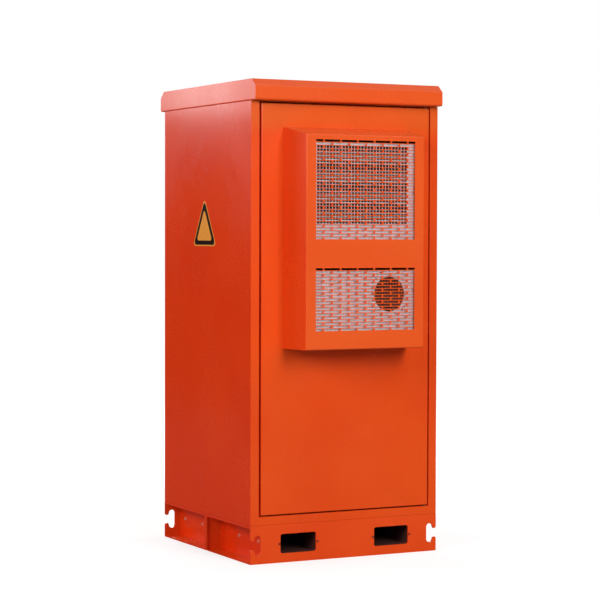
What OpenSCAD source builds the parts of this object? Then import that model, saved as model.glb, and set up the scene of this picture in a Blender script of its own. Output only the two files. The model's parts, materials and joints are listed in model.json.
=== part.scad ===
// Outdoor fibre distribution cabinet on a lifting plinth, with a door-mounted air conditioner.
// Origin: centre of the plinth on the floor. X to the right of the front, Y to the rear, Z up.
// All sizes are in millimetres.

/* [Cabinet body] */
// Width of the body across the side panels
body_w = 800; // [720:5:1000]
// Depth of the body from front face to rear face
body_d = 800; // [760:5:1000]
// Height of the side panels, from the plinth to the roof
shell_h = 1575; // [1500:5:1900]
// Thickness of the body sheet
sheet = 2; // [1.5:0.5:3]
// Outer radius of the folded vertical edges of the body
corner_r = 1.4; // [0.6:0.1:1.4]
// Open joint between plinth and body
base_joint = 1; // [0.5:0.5:2]

/* [Roof] */
// Height of the straight skirt of the roof
skirt_h = 54; // [40:1:80]
// Height of the sloped band above the skirt
slope_h = 26; // [10:1:40]
// Depth of the sloped band
slope_d = 31; // [10:1:60]
// Overhang of the roof past the front face
overhang_front = 35; // [25:1:60]
// Overhang of the roof past the rear face
overhang_rear = 42; // [25:1:60]
// Outer radius of the folds in the roof sheet
roof_fold_r = 4; // [3:0.5:8]
// Outer radius of the curl under the front and rear skirts of the roof
roof_curl_r = 9; // [4:0.5:10]
// Width of the lip folded inwards under the front and rear skirts
roof_lip = 14; // [10:1:18]

/* [Plinth] */
// Height of the plinth
plinth_h = 145; // [140:5:200]
// Thickness of the front and rear plates
plate_t = 6; // [5:1:8]
// Depth of the recess in the side channels
recess_d = 70; // [66:1:90]
// Thickness of the channel sheet
channel_t = 5; // [4:0.5:6]
// Height of the lip under the top flange of a channel
lip_h = 11; // [8:1:16]
// Width of the outer flange of the middle rib
rib_flange_w = 18; // [12:1:30]
// Width of a fork pocket
fork_w = 150; // [120:5:180]
// Height of a fork pocket
fork_h = 73; // [60:1:85]
// Height of the underside of a fork pocket above the floor
fork_z = 34.5; // [30:0.5:45]
// Distance between the centres of the two fork pockets
fork_pitch = 400; // [340:10:420]
// Corner radius of a fork pocket
fork_r = 9; // [4:1:15]
// Wall of a fork tube
fork_wall = 3; // [2:0.5:5]
// Width of a lifting notch
notch_w = 27; // [22:1:32]
// Height of a lifting notch
notch_h = 73; // [60:1:85]
// Width of the hook between a notch and the end of the plate
hook_w = 16; // [12:1:20]
// Height of the mouth between the two hooks
mouth_h = 32; // [20:1:36]

/* [Plinth fixings] */
// Distance of an anchor hole from the side of the plinth
anchor_in = 30; // [28:1:40]
// Distance of an anchor hole from the front or rear face
anchor_end = 115; // [80:5:200]
// Radius of an anchor hole
anchor_r = 7; // [5:0.5:9]
// Distance of the outer body bolts from the front or rear face
bolt_end = 115; // [80:5:160]
// Distance of the outer web bolts from the front or rear face
web_bolt_end = 63; // [50:1:90]
// Distance between the two web bolts at each end of a channel
web_bolt_pitch = 167; // [120:1:180]

/* [Door openings] */
// Width of the frame face beside a door
stile_w = 34; // [30:1:45]
// Height of the frame face under a door
sill_h = 31; // [28:1:50]
// Depth from the front face to the sealing flange
rebate_d = 36; // [34:1:50]
// Width of the sealing flange around the doorway
landing_w = 35; // [30:1:45]
// Height of the frame above the doorway
head_h = 38; // [30:1:50]

/* [Doors] */
// Depth of a door leaf
leaf_d = 28; // [24:1:34]
// Gap at the opening side of a leaf
gap_side = 9; // [6:0.5:12]
// Gap at the hinge side of a leaf
gap_hinge = 4.5; // [4:0.5:8]
// Gap above and below a leaf
gap_end = 5; // [4:0.5:8]
// Width of the folded edge at the back of a leaf
leaf_flange = 28; // [26:1:32]
// Radius of the folded front edges of a leaf
leaf_fold_r = 3; // [2:0.5:6]
// Distance of a hinge pin from the edge of the leaf
pin_in = 12; // [10:1:16]
// Distance of a hinge pin behind the front of the leaf
pin_back = 9; // [8:0.5:12]
// Radius of a hinge pin
pin_r = 5; // [4:0.5:6]

/* [Air conditioner] */
// Width of the cover where it meets the door
ac_base_w = 536; // [500:2:560]
// Width of the front face of the cover
ac_face_w = 500; // [480:2:536]
// Height of the cover where it meets the door
ac_base_h = 824; // [800:1:850]
// Height of the front face of the cover
ac_face_h = 793; // [780:1:824]
// Height of the underside of the cover above the floor
ac_z = 801; // [760:1:840]
// How far the cover stands out from the door
ac_depth = 154; // [140:1:180]
// Thickness of the cover sheet
ac_sheet = 2; // [1:0.5:3]
// Radius of the folded edges of the cover
ac_fold_r = 5; // [3:0.5:10]
// How far the unit reaches into the cabinet behind the door leaf
ac_inside = 82; // [70:1:85]

/* [Air grilles] */
// Length of one slot in the cover
slot_l = 64.6; // [40:0.1:80]
// Height of one slot
slot_h = 8.2; // [5:0.1:9]
// Web between two slots in a row
slot_web = 6.3; // [4:0.1:10]
// Distance between two rows of slots
row_pitch = 11.18; // [10:0.01:14]
// Slots across a grille
slot_count = 6; // [3:1:6]
// Rows in the upper grille
upper_rows = 33; // [10:1:33]
// Rows in the lower grille
lower_rows = 21; // [6:1:21]
// Distance of the top row of slots below the top of the cover's face
upper_drop = 23; // [20:1:33]
// Height of the top row of the lower grille above the underside of the cover
lower_rise = 297.5; // [289:0.5:304]
// Distance of the middle of the upper hole field below the top row of slots
field_drop = 160.5; // [158:0.5:170]
// Distance of the middle of the lower hole field below the top row of slots there
fan_drop = 94.5; // [90:0.5:120]
// Distance of the lower hole field to the right of the cover's middle
fan_x = 106; // [60:1:120]
// Side of a square hole in the guard plates
hole_s = 8; // [5:0.5:9]
// Distance between square holes over the condenser
hole_pitch = 13.2; // [11:0.1:16]
// Distance between square holes over the fan
fan_hole_pitch = 11.9; // [10:0.1:14]

/* [Fans] */
// Side of a fan frame
fan_w = 127; // [110:1:135]
// Depth of a fan frame
fan_t = 38; // [25:1:45]
// Distance between the screw holes of a fan frame
fan_screw_pitch = 113.3; // [96:0.1:122]
// Running gap between the blade tips and the frame
fan_gap = 2; // [1:0.5:4]

/* [Door locks] */
// Distance between the middle of a lock rod and the pitch line of the pinion
rod_in = 5; // [4.5:0.1:6]
// Width of a rod guide
guide_w = 12; // [11:0.5:13]
// Height of the rear door handle above the floor
handle_z = 1000; // [900:10:1100]
// Tooth module of the lock pinion
gear_m = 1.5; // [1.25:0.25:1.5]
// Teeth on the lock pinion
gear_teeth = 16; // [16:4:16]
// Radius of a lock rod
rod_r = 4; // [3:0.5:4]

/* [Equipment rack] */
// Width across a rack panel
rack_w = 482.6; // [482.6]
// Distance between the two columns of rack holes
rack_hole_w = 465.1; // [465.1]
// Height of one rack unit
rack_unit = 44.45; // [44.45]
// Rack units between floor and ceiling
rack_units = 32; // [24:1:32]
// Height of the first rack unit above the floor
rack_z = 190; // [180:1:240]
// Distance between the faces of the front and rear rails
rack_d = 500; // [460:5:520]
// Side of a square rack hole
rack_hole = 9.5; // [9.5]

/* [Cable entry] */
// Radius of the cable passage in a gland
gland_r = 9; // [6:0.5:10]
// Distance between glands
gland_pitch = 62; // [58:1:66]

/* [Hidden] */
$fn = 48;
EPS = 0.5;

// Main planes
half_w = body_w / 2;
half_d = body_d / 2;
base_z = plinth_h;
shell_top = base_z + shell_h;
roof_top = shell_top + skirt_h + slope_h;
in_w = half_w - sheet;

// Fits
bore_gap = 0.05;
seat_gap = 0.3;

module box(a, b) {
    translate(a) cube(b - a);
}

// Outline in X and Z, as a plate that runs from y0 to y0 + t
module plate_xz(y0, t) {
    translate([0, y0 + t, 0]) rotate([90, 0, 0]) linear_extrude(t) children();
}

// Outline in Y and Z, as a prism that runs from x0 to x0 + l
module prism_yz(x0, l) {
    translate([x0, 0, 0]) rotate([90, 0, 90]) linear_extrude(l) children();
}

// Cylinder along +Y that starts at y0
module rod_y(x, z, y0, y1, r) {
    translate([x, y0, z]) rotate([-90, 0, 0]) cylinder(r = r, h = y1 - y0);
}

// Rectangle with round corners, centred
module round_rect(w, h, r) {
    square([w - 2 * r, h], center = true);
    square([w, h - 2 * r], center = true);
    for (x = [-1, 1], z = [-1, 1])
        translate([x * (w / 2 - r), z * (h / 2 - r)]) circle(r);
}

// Points of an arc that rounds the corner at b between a and c
function fold(a, b, c, r, n = 5) =
    let (u = (a - b) / norm(a - b), v = (c - b) / norm(c - b),
         half = acos(u * v) / 2,
         m = b + (u + v) / norm(u + v) * r / sin(half),
         s = b + u * r / tan(half) - m,
         e = b + v * r / tan(half) - m,
         a0 = atan2(s[1], s[0]),
         turn = (atan2(e[1], e[0]) - a0 + 540) % 360 - 180)
    [for (i = [0:n]) m + r * [cos(a0 + turn * i / n), sin(a0 + turn * i / n)]];

// Closed outline whose corner i has radius radii[i]
function folded(points, radii) =
    let (n = len(points))
    [for (i = [0:n - 1])
        each radii[i] == 0 ? [points[i]]
            : fold(points[(i + n - 1) % n], points[i], points[(i + 1) % n], radii[i])];

// Outline drawn in by insets[i] on the side that starts at corner i, for a clockwise outline
function drawn_in(points, insets) =
    let (n = len(points))
    [for (i = [0:n - 1])
        let (j = (i + n - 1) % n,
             u = points[i] - points[j], v = points[(i + 1) % n] - points[i],
             a = [u[1], -u[0]] / norm(u), b = [v[1], -v[0]] / norm(v),
             k = a * b)
        points[i] + (insets[j] * (a - k * b) + insets[i] * (b - k * a)) / (1 - k * k)];

// Picture frame in the XZ plane between two rectangles given as [left, right, bottom, top]
module ring_xz(outer, inner, y0, y1) {
    difference() {
        box([outer[0], y0, outer[2]], [outer[1], y1, outer[3]]);
        box([inner[0], y0 - EPS, inner[2]], [inner[1], y1 + EPS, inner[3]]);
    }
}

// Plinth
plinth_top = plinth_h - base_joint;
fork_mid = fork_z + fork_h / 2;
notch_mid = fork_mid;
notch_x = half_w - hook_w - notch_w / 2;
fork_flange = 17;
fork_screw_x = fork_w / 2 + 5.5;
fork_screw_r = 2.5;

module lifting_notch() {
    hook_r = hook_w / 2;
    mouth_edge = mouth_h / 2 + hook_r;
    translate([notch_x, notch_mid]) {
        square([notch_w, notch_h - notch_w], center = true);
        for (z = [-1, 1]) translate([0, z * (notch_h - notch_w) / 2]) circle(notch_w / 2);
    }
    difference() {
        translate([notch_x, notch_mid - mouth_edge])
            square([half_w - notch_x + EPS, 2 * mouth_edge]);
        for (z = [-1, 1])
            translate([half_w - hook_r, notch_mid + z * mouth_edge]) circle(hook_r);
    }
}

module plinth_plate(y0) {
    color("orangered")
    plate_xz(y0, plate_t) difference() {
        translate([-half_w, 0]) square([body_w, plinth_top]);
        for (x = [-1, 1]) {
            translate([x * fork_pitch / 2, fork_mid]) {
                round_rect(fork_w, fork_h, fork_r);
                for (s = [-1, 1]) translate([s * fork_screw_x, 0]) circle(fork_screw_r + bore_gap);
            }
            scale([x, 1]) lifting_notch();
        }
    }
}

module plinth_front_plate() {
    plinth_plate(-half_d);
}

module plinth_rear_plate() {
    plinth_plate(half_d - plate_t);
}

bolt_ys = [for (i = [0:3]) (i / 3 - 0.5) * (body_d - 2 * bolt_end)];
bolt_x = half_w - recess_d / 2;
bolt_r = 6;
web_x = half_w - recess_d;
web_bolt_r = 4;
web_bolt_z = fork_mid + 4;
web_bolt_ys = [for (s = [-1, 1], i = [0, 1]) s * (half_d - web_bolt_end - i * web_bolt_pitch)];

module plinth_side(s) {
    length = body_d - 2 * plate_t;
    outline = [[web_x, 0], [half_w, 0], [half_w, channel_t], [web_x + channel_t, channel_t],
        [web_x + channel_t, plinth_top - channel_t], [half_w - channel_t, plinth_top - channel_t],
        [half_w - channel_t, plinth_top - lip_h], [half_w, plinth_top - lip_h],
        [half_w, plinth_top], [web_x, plinth_top]];
    color("orangered")
    scale([s, 1, 1]) difference() {
        union() {
            translate([0, length / 2, 0]) rotate([90, 0, 0]) linear_extrude(length) polygon(outline);
            box([web_x, -channel_t / 2, 0], [half_w, channel_t / 2, plinth_top]);
            box([half_w - channel_t, -rib_flange_w / 2, 0], [half_w, rib_flange_w / 2, plinth_top]);
        }
        for (y = [-1, 1]) translate([half_w - anchor_in, y * (half_d - anchor_end), -EPS])
            cylinder(r = anchor_r, h = channel_t + 2 * EPS);
        for (y = web_bolt_ys) translate([web_x - EPS, y, web_bolt_z]) rotate([0, 90, 0])
            cylinder(r = web_bolt_r + bore_gap, h = channel_t + 2 * EPS);
        for (y = bolt_ys) translate([bolt_x, y, plinth_top - channel_t - EPS])
            cylinder(r = bolt_r + seat_gap, h = channel_t + 2 * EPS);
    }
}

module plinth_side_left() {
    plinth_side(-1);
}

module plinth_side_right() {
    plinth_side(1);
}

module fork_tube(s) {
    y0 = -half_d + plate_t;
    length = body_d - 2 * plate_t;
    color("orangered")
    translate([s * fork_pitch / 2, 0, fork_mid]) difference() {
        union() {
            plate_xz(y0, length)
                round_rect(fork_w + 2 * fork_wall, fork_h + 2 * fork_wall, fork_r + fork_wall);
            for (y = [y0, -y0 - fork_wall]) plate_xz(y, fork_wall)
                square([fork_w + 2 * fork_flange, fork_h + 2 * fork_flange], center = true);
        }
        plate_xz(y0 - EPS, length + 2 * EPS) {
            round_rect(fork_w, fork_h, fork_r);
            for (x = [-1, 1]) translate([x * fork_screw_x, 0]) circle(fork_screw_r + bore_gap);
        }
    }
}

module fork_tube_left() {
    fork_tube(-1);
}

module fork_tube_right() {
    fork_tube(1);
}

module fork_tube_screws() {
    head_t = 2;
    grip = plate_t + fork_wall;
    color("dimgray")
    for (end = [0, 180], x = [-1, 1], s = [-1, 1]) rotate(end)
        translate([x * fork_pitch / 2 + s * fork_screw_x, -half_d, fork_mid]) {
            rod_y(0, 0, -head_t, 0, fork_screw_r * 1.7);
            rod_y(0, 0, 0, grip, fork_screw_r);
        }
}

// Corner radius, head height and nut height of a hexagon bolt, each against its thread radius
hex_ratio = 1.73;
head_ratio = 1.3;
nut_ratio = 1.6;

// Bolt and nut, with the grip standing on z = 0
module shank_and_nut(r, grip) {
    cylinder(r = r, h = grip + r * (nut_ratio + 0.5));
    translate([0, 0, grip]) cylinder(r = r * hex_ratio, h = r * nut_ratio, $fn = 6);
}

// Hexagon bolts from the channels up into the body, and round-headed bolts through the webs
module plinth_bolts() {
    dome_h = 4;
    dome_r = 7;
    head_t = bolt_r * head_ratio;
    color("silver")
    for (s = [-1, 1]) {
        for (y = bolt_ys) translate([s * bolt_x, y, plinth_top - channel_t]) {
            translate([0, 0, -head_t]) cylinder(r = bolt_r * hex_ratio, h = head_t, $fn = 6);
            shank_and_nut(bolt_r, channel_t + sheet);
        }
        for (y = web_bolt_ys) translate([s * (web_x + channel_t), y, web_bolt_z])
            rotate([0, -90 * s, 0]) {
                translate([0, 0, -dome_h]) cylinder(r1 = dome_r - dome_h / 2, r2 = dome_r, h = dome_h);
                shank_and_nut(web_bolt_r, channel_t);
            }
    }
}

// Body shell
door_half = half_w - stile_w;
door_bottom = base_z + sill_h - sheet / 2 + 1;
door_top = shell_top - 3;
landing_y = -half_d + rebate_d;
way_half = door_half - landing_w;
way_bottom = door_bottom + landing_w;
way_top = door_top - landing_w;
frame_low = base_z + sheet / 2;
leaf_left = -door_half + gap_side;
leaf_right = door_half - gap_hinge;
leaf_bottom = door_bottom + gap_end;
leaf_top = door_top - gap_end;
pin_x = leaf_right - pin_in;
pin_y = -half_d + pin_back;
pitch_r = gear_m * gear_teeth / 2;
rod_off = pitch_r + rod_in;
lock_x = -leaf_left - leaf_flange - 1 - guide_w / 2 - rod_off;
boss_w = 20;
boss_h = 8;
entry_w = 220;
entry_d = 240;
entry_y = 160;
floor_top = plinth_top + sheet;

module floor_pan() {
    edge = 30;
    color("orangered")
    difference() {
        box([-in_w, -half_d + sheet, plinth_top], [in_w, half_d - sheet, floor_top]);
        box([-entry_w / 2 + edge, entry_y - entry_d / 2 + edge, plinth_top - EPS],
            [entry_w / 2 - edge, entry_y + entry_d / 2 - edge, floor_top + EPS]);
        for (s = [-1, 1], y = bolt_ys) translate([s * bolt_x, y, plinth_top - EPS])
            cylinder(r = bolt_r + seat_gap, h = sheet + 2 * EPS);
    }
}

gland_thread_r = gland_r + 5;
gland_spots = [for (i = [-0.5, 0.5], j = [-0.5, 0.5])
    [i * gland_pitch, entry_y + j * gland_pitch]];
gland_plate_t = 3;

module gland_plate() {
    color("silver")
    difference() {
        box([-entry_w / 2, entry_y - entry_d / 2, floor_top],
            [entry_w / 2, entry_y + entry_d / 2, floor_top + gland_plate_t]);
        for (p = gland_spots) translate([p[0], p[1], floor_top - EPS])
            cylinder(r = gland_thread_r + bore_gap, h = gland_plate_t + 2 * EPS);
    }
}

// One gland: clamping nut above, hexagon body, thread through the plate and lock nut below
module cable_gland() {
    hex_r = gland_thread_r + 4;
    dome_h = 12;
    body_h = 8;
    nut_h = 5;
    under = 9;
    color("dimgray")
    difference() {
        union() {
            translate([0, 0, floor_top + gland_plate_t]) {
                cylinder(r = hex_r, h = body_h, $fn = 6);
                translate([0, 0, body_h]) cylinder(r1 = hex_r - 2, r2 = gland_r + 3, h = dome_h);
            }
            translate([0, 0, floor_top - under]) cylinder(r = gland_thread_r, h = under + gland_plate_t);
            translate([0, 0, floor_top - nut_h]) cylinder(r = hex_r, h = nut_h, $fn = 6);
        }
        translate([0, 0, floor_top - under - EPS])
            cylinder(r = gland_r, h = under + gland_plate_t + body_h + dome_h + 2 * EPS);
    }
}

module cable_glands() {
    for (p = gland_spots) translate([p[0], p[1], 0]) cable_gland();
}

roof_joint = 1;
panel_top = shell_top - roof_joint;

// Half the width that stands clear inside the folded ends of the roof
roof_reach = half_w - roof_fold_r - roof_joint;

module side_panel(s) {
    flange = 18;
    reach = half_d - rebate_d - 12;
    color("orangered")
    scale([s, 1, 1]) {
        translate([0, 0, base_z]) linear_extrude(panel_top - base_z)
            polygon(folded([[in_w, -half_d], [half_w, -half_d], [half_w, half_d], [in_w, half_d]],
                [0, corner_r, corner_r, 0]));
        for (z = [floor_top, panel_top - sheet])
            box([in_w - flange, -reach, z], [in_w, reach, z + sheet]);
    }
}

module left_side_panel() {
    side_panel(-1);
}

module right_side_panel() {
    side_panel(1);
}

// Door frame, drawn for the front: face with its top corners cut away under the roof, reveal,
// sealing flange and two bearing blocks
module door_frame() {
    y_face = -half_d;
    y_back = landing_y;
    wall = [-door_half - sheet, door_half + sheet, door_bottom - sheet, door_top + sheet];
    opening = [-door_half, door_half, door_bottom, door_top];
    color("orangered")
    difference() {
        union() {
            ring_xz([-in_w, in_w, base_z, door_top + head_h], opening, y_face, y_face + sheet);
            ring_xz(wall, opening, y_face + sheet, y_back);
            ring_xz([-in_w, in_w, floor_top, panel_top],
                [-way_half, way_half, way_bottom, way_top], y_back, y_back + sheet);
            for (z = [door_bottom - sheet - boss_h, door_top + sheet])
                box([pin_x - boss_w / 2, y_face + sheet, z],
                    [pin_x + boss_w / 2, y_face + sheet + boss_w * 0.8, z + boss_h]);
        }
        for (z = [door_bottom - sheet - boss_h - EPS, door_top - EPS])
            translate([pin_x, pin_y, z]) cylinder(r = pin_r + bore_gap, h = boss_h + sheet + 2 * EPS);
        for (s = [-1, 1]) scale([s, 1, 1])
            box([roof_reach, y_face - EPS, panel_top],
                [in_w + EPS, y_face + sheet + EPS, door_top + head_h + EPS]);
    }
}

module front_frame() {
    door_frame();
}

module rear_frame() {
    rotate(180) door_frame();
}

// Ceiling that lies on the top flanges of the side panels, between the folded ends of the roof
module ceiling_panel() {
    color("orangered")
    box([-roof_reach, landing_y, panel_top], [roof_reach, -landing_y, panel_top + sheet]);
}

roof_front = -half_d - overhang_front;
roof_rear = half_d + overhang_rear;

roof_outline = [
    [roof_front, shell_top], [roof_front, shell_top + skirt_h], [roof_front + slope_d, roof_top],
    [roof_rear - slope_d, roof_top], [roof_rear, shell_top + skirt_h], [roof_rear, shell_top]];

// Closed form of the roof: its outline from the side, with the ends folded in below
module roof_form(outline, half, fold_r, curl_r) {
    bottom = outline[0][1];
    top = roof_top + EPS;
    intersection() {
        prism_yz(-half - EPS, 2 * half + 2 * EPS)
            polygon(folded(outline, [curl_r, fold_r, fold_r, fold_r, fold_r, curl_r]));
        plate_xz(roof_front - EPS, roof_rear - roof_front + 2 * EPS)
            polygon(folded([[-half, bottom], [half, bottom], [half, top], [-half, top]],
                [fold_r, fold_r, 0, 0]));
    }
}

// Folded cap, closed at both ends, with its lower edges turned inwards all round
module roof_cap() {
    reach = half_w - roof_fold_r;
    color("orangered") difference() {
        roof_form(roof_outline, half_w, roof_fold_r, roof_curl_r);
        roof_form(drawn_in(roof_outline, [for (i = [1:6]) sheet]), in_w,
            roof_fold_r - sheet, roof_curl_r - sheet);
        box([-reach, roof_front + roof_lip, shell_top - EPS],
            [reach, roof_rear - roof_lip, shell_top + sheet + EPS]);
    }
}

spacer_x = half_w - 90;
spacer_y = half_d - 100;

module roof_spacers() {
    color("silver")
    for (x = [-1, 1], y = [-1, 1]) translate([x * spacer_x, y * spacer_y, panel_top + sheet])
        cylinder(r = 12, h = roof_top - sheet - panel_top - sheet);
}

insulation_t = 15;

module insulation(s) {
    reach = half_d - rebate_d - 22;
    color("darkslategray")
    scale([s, 1, 1]) box([in_w - insulation_t, -reach, floor_top + 24], [in_w, reach, panel_top - 24]);
}

module left_insulation() {
    insulation(-1);
}

module right_insulation() {
    insulation(1);
}

// Equipment rack
rack_top = rack_z + rack_units * rack_unit;
rail_edge = 7.5;
rail_w = 36;
rail_in = rack_hole_w / 2 - rail_edge;
rail_out = rail_in + rail_w;
rail_depth = 40;
rail_face = -rack_d / 2;
beam_gap = 8;
beam_in = way_half + beam_gap;
beam_w = 28;
beam_h = 34;
beam_low = 30;
beam_drop = 60;
beam_zs = [rack_z + beam_low, (rack_z + rack_top) / 2, rack_top - beam_drop];
bracket_in = 4;
hole_offsets = [6.35, 22.225, 38.1];

// Rail drawn for the front left corner
module rack_rail() {
    color("silver")
    difference() {
        union() {
            box([-rail_out, rail_face, rack_z], [-rail_in, rail_face + sheet, rack_top]);
            box([-rail_out, rail_face, rack_z], [-rail_out + sheet, rail_face + rail_depth, rack_top]);
        }
        for (u = [0:rack_units - 1], h = hole_offsets)
            translate([-rack_hole_w / 2, rail_face + sheet / 2, rack_z + u * rack_unit + h])
                cube([rack_hole, 2 * sheet, rack_hole], center = true);
    }
}

module rack_rail_front_left() {
    rack_rail();
}

module rack_rail_front_right() {
    mirror([1, 0, 0]) rack_rail();
}

module rack_rail_rear_left() {
    mirror([0, 1, 0]) rack_rail();
}

module rack_rail_rear_right() {
    rotate(180) rack_rail();
}

// Depth beams between the door frames, each with a bracket to every rail
module rack_beams() {
    beam_y = -landing_y - sheet;
    color("silver")
    for (s = [-1, 1], z = beam_zs) scale([s, 1, 1]) {
        difference() {
            box([beam_in, -beam_y, z], [beam_in + beam_w, beam_y, z + beam_h]);
            box([beam_in + sheet, -beam_y - EPS, z + sheet],
                [beam_in + beam_w + EPS, beam_y + EPS, z + beam_h - sheet]);
        }
        for (y = [-1, 1]) scale([1, y, 1]) translate([0, rail_face + bracket_in, z]) {
            tab = rail_depth - 2 * bracket_in;
            box([rail_out, 0, 0], [rail_out + sheet, tab, beam_h]);
            box([rail_out, 0, 0], [beam_in, sheet, beam_h]);
            box([beam_in - sheet, 0, 0], [beam_in, tab, beam_h]);
        }
    }
}

panel_half = rack_w / 2;
tray_half = rack_hole_w / 2 - 12;
tray_depth = 190;
adapter_w = 13;
adapter_h = 9.4;
adapter_l = 26;
adapter_count = 12;
adapter_pitch = 30;
panel_units = 2;
panel_gap = 0.8;

function unit_z(u) = rack_z + u * rack_unit;
upper_panel_z = unit_z(9);
lower_panel_z = unit_z(5);

// Rack-mounted panel with a shelf folded back from its lower edge
module patch_panel(z) {
    t = 1.5;
    h = panel_units * rack_unit - panel_gap;
    y = rail_face - sheet;
    color("lightgray")
    difference() {
        union() {
            box([-panel_half, y, z], [panel_half, y + sheet, z + h]);
            box([-tray_half, y, z], [tray_half, y + tray_depth, z + t]);
            for (s = [-1, 1]) scale([s, 1, 1])
                box([tray_half - t, y, z], [tray_half, y + tray_depth, z + h / 2]);
            box([-tray_half, y + tray_depth - t, z], [tray_half, y + tray_depth, z + h / 3]);
        }
        for (i = [0:adapter_count - 1])
            translate([(i - (adapter_count - 1) / 2) * adapter_pitch, y + sheet / 2, z + h / 2])
                cube([adapter_w, 2 * sheet, adapter_h], center = true);
        for (s = [-1, 1], v = [hole_offsets[0], panel_units * rack_unit - hole_offsets[0]])
            rod_y(s * rack_hole_w / 2, z + v, y - EPS, y + sheet + EPS, 3.4);
    }
}

module patch_panel_upper() {
    patch_panel(upper_panel_z);
}

module patch_panel_lower() {
    patch_panel(lower_panel_z);
}

// Row of fibre adapters, each with a flange on the front of the panel and a dust cap
module adapters(z) {
    h = panel_units * rack_unit - panel_gap;
    y = rail_face - sheet;
    play = 0.1;
    flange_w = 22;
    cap_l = 6;
    color("steelblue")
    for (i = [0:adapter_count - 1])
        translate([(i - (adapter_count - 1) / 2) * adapter_pitch, y, z + h / 2]) {
            translate([0, 1, 0])
                cube([adapter_w - 2 * play, adapter_l, adapter_h - 2 * play], center = true);
            translate([0, -1, 0]) cube([flange_w, 2, adapter_h], center = true);
            rod_y(0, 0, 1 - adapter_l / 2 - cap_l, 1 - adapter_l / 2, 3.2);
        }
}

module adapters_upper() {
    adapters(upper_panel_z);
}

module adapters_lower() {
    adapters(lower_panel_z);
}

cassette = [160, 110, 9];
cassette_count = 4;

// Stacks of splice cassettes on the shelves of the two panels
module splice_cassettes() {
    y = rail_face - sheet + tray_depth / 2 + 18;
    color("whitesmoke")
    for (base = [upper_panel_z, lower_panel_z], i = [0:cassette_count - 1])
        translate([0, y, base + 1.5 + i * cassette[2]]) {
            linear_extrude(cassette[2] - 1) round_rect(cassette[0], cassette[1], 14);
            translate([0, 0, cassette[2] - 1]) linear_extrude(1)
                round_rect(cassette[0] - 20, cassette[1] - 20, 6);
        }
}

shelf_z = unit_z(14);

module equipment_shelf() {
    t = 1.5;
    lip = 20;
    y = rail_face - sheet;
    color("silver")
    difference() {
        union() {
            box([-tray_half, y, shelf_z], [tray_half, -y, shelf_z + t]);
            for (s = [-1, 1]) scale([s, 1, 1])
                box([tray_half - t, y, shelf_z], [tray_half, -y, shelf_z + lip]);
            for (s = [-1, 1]) scale([1, s, 1])
                box([-panel_half, y, shelf_z], [panel_half, y + sheet, shelf_z + rack_unit - panel_gap]);
        }
        for (s = [-1, 1], x = [-1, 1]) scale([1, s, 1])
            rod_y(x * rack_hole_w / 2, shelf_z + hole_offsets[1], y - EPS, y + sheet + EPS, 3.4);
        for (i = [-5:5], j = [-2:2])
            translate([i * 34, j * 80, shelf_z]) cube([10, 56, 3 * t + 2], center = true);
    }
}

// Slotted channel across the rear rails that takes the strain off incoming cables
module cable_rail() {
    y = -rail_face;
    z = unit_z(3);
    depth = 20;
    color("silver")
    difference() {
        union() {
            box([-panel_half, y, z], [panel_half, y + sheet, z + 40]);
            for (v = [0, 40 - sheet])
                box([-rail_in + 10, y, z + v], [rail_in - 10, y + depth, z + v + sheet]);
        }
        for (i = [-5:5]) translate([i * 36, y + sheet / 2, z + 20]) cube([22, 3 * sheet, 8], center = true);
        for (s = [-1, 1]) rod_y(s * rack_hole_w / 2, z + hole_offsets[1], y - EPS, y + sheet + EPS, 3.4);
    }
}

// Copper bar on two insulators, on a strip across the rear rails
module earth_bar() {
    y = -rail_face;
    bar_h = 25;
    bar_t = 5;
    bar_half = 160;
    stand = 20;
    strip_t = 3;
    strip_edge = 6;
    insulator_in = 15;
    z = unit_z(1) + 8 + bar_h / 2;
    color("peru") difference() {
        box([-bar_half, y + stand, z - bar_h / 2], [bar_half, y + stand + bar_t, z + bar_h / 2]);
        for (i = [-4:4]) rod_y(i * 30, z, y + stand - EPS, y + stand + bar_t + EPS, 3.3);
    }
    color("firebrick")
    for (s = [-1, 1]) rod_y(s * (bar_half - insulator_in), z, y + strip_t, y + stand, 9);
    color("silver")
    box([-panel_half, y, z - bar_h / 2 - strip_edge], [panel_half, y + strip_t, z + bar_h / 2 + strip_edge]);
}

// Door leaf, drawn for the front, open towards the inside
module door_leaf() {
    y0 = -half_d;
    y1 = -half_d + leaf_d;
    r = leaf_fold_r;
    color("orangered")
    difference() {
        union() {
            difference() {
                intersection() {
                    translate([0, 0, leaf_bottom]) linear_extrude(leaf_top - leaf_bottom)
                        polygon(folded([[leaf_left, y0], [leaf_right, y0], [leaf_right, y1],
                            [leaf_left, y1]], [r, r, 0, 0]));
                    prism_yz(leaf_left, leaf_right - leaf_left)
                        polygon(folded([[y0, leaf_bottom], [y0, leaf_top], [y1, leaf_top],
                            [y1, leaf_bottom]], [r, r, 0, 0]));
                }
                box([leaf_left + sheet, y0 + sheet, leaf_bottom + sheet],
                    [leaf_right - sheet, y1 - sheet, leaf_top - sheet]);
                box([leaf_left + leaf_flange, y1 - sheet - EPS, leaf_bottom + leaf_flange],
                    [leaf_right - leaf_flange, y1 + EPS, leaf_top - leaf_flange]);
            }
            for (z = [leaf_bottom + sheet, leaf_top - sheet - boss_w])
                box([pin_x - boss_w / 2, y0 + sheet, z],
                    [leaf_right - sheet, y0 + sheet + boss_w * 0.8, z + boss_w]);
        }
        for (z = [leaf_bottom - EPS, leaf_top - sheet - boss_w - EPS]) translate([pin_x, pin_y, z])
            cylinder(r = pin_r + bore_gap, h = boss_w + sheet + 2 * EPS);
    }
}

ac_cut_half = ac_face_w / 2 - 22;
chassis_low = ac_z + 5;
chassis_high = ac_z + ac_face_h - 8;
chassis_play = 1;

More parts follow.
